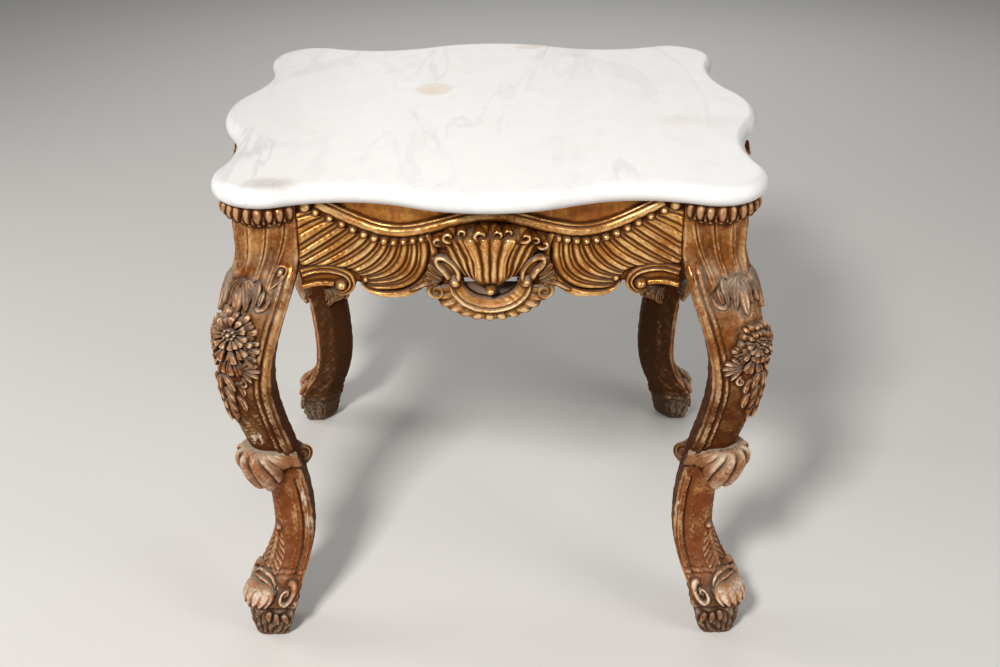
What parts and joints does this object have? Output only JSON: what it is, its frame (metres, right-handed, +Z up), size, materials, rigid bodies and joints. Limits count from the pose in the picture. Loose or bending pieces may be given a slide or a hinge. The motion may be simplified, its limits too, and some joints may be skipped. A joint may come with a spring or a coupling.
{
  "type": "pier table",
  "caption": "Rococo pier table: carved and gilded frame on cabriole legs with a loose serpentine marble top.",
  "frame": {"origin": "on the floor under the middle of the table", "axes": "+X to the right along the longest side, +Y to the rear, +Z up"},
  "size_m": [0.82, 0.7298, 0.76],
  "materials": {
    "marble": "honed white marble with grey veins and a few old stains",
    "gilt_frieze": "carved wood with aged gold leaf, dark in the recesses",
    "gilt_leg": "carved wood with worn gold leaf, red bole and chipped gesso",
    "bare_wood": "unfinished dark wood",
    "screw_steel": "plain screw steel"
  },
  "bodies": {
    "frame": {"front_frieze": "gilt_frieze", "front_cartouche": "gilt_frieze", "rear_frieze": "gilt_frieze", "rear_cartouche": "gilt_frieze", "left_frieze": "gilt_frieze", "left_cartouche": "gilt_frieze", "right_frieze": "gilt_frieze", "right_cartouche": "gilt_frieze", "front_left_leg": "gilt_leg", "front_left_capital": "gilt_leg", "front_left_knee_flower": "gilt_leg", "front_left_corner_block": "bare_wood", "front_right_leg": "gilt_leg", "front_right_capital": "gilt_leg", "front_right_knee_flower": "gilt_leg", "front_right_corner_block": "bare_wood", "rear_left_leg": "gilt_leg", "rear_left_capital": "gilt_leg", "rear_left_knee_flower": "gilt_leg", "rear_left_corner_block": "bare_wood", "rear_right_leg": "gilt_leg", "rear_right_capital": "gilt_leg", "rear_right_knee_flower": "gilt_leg", "rear_right_corner_block": "bare_wood", "mortise_pegs": "bare_wood", "block_screws": "screw_steel"},
    "top": {"marble_top": "marble"}
  },
  "joints": [
    {"name": "top_lift", "type": "slide", "parent": "frame", "child": "top", "axis": [0, 0, 1], "range_m": [0, 0.15]}
  ]
}
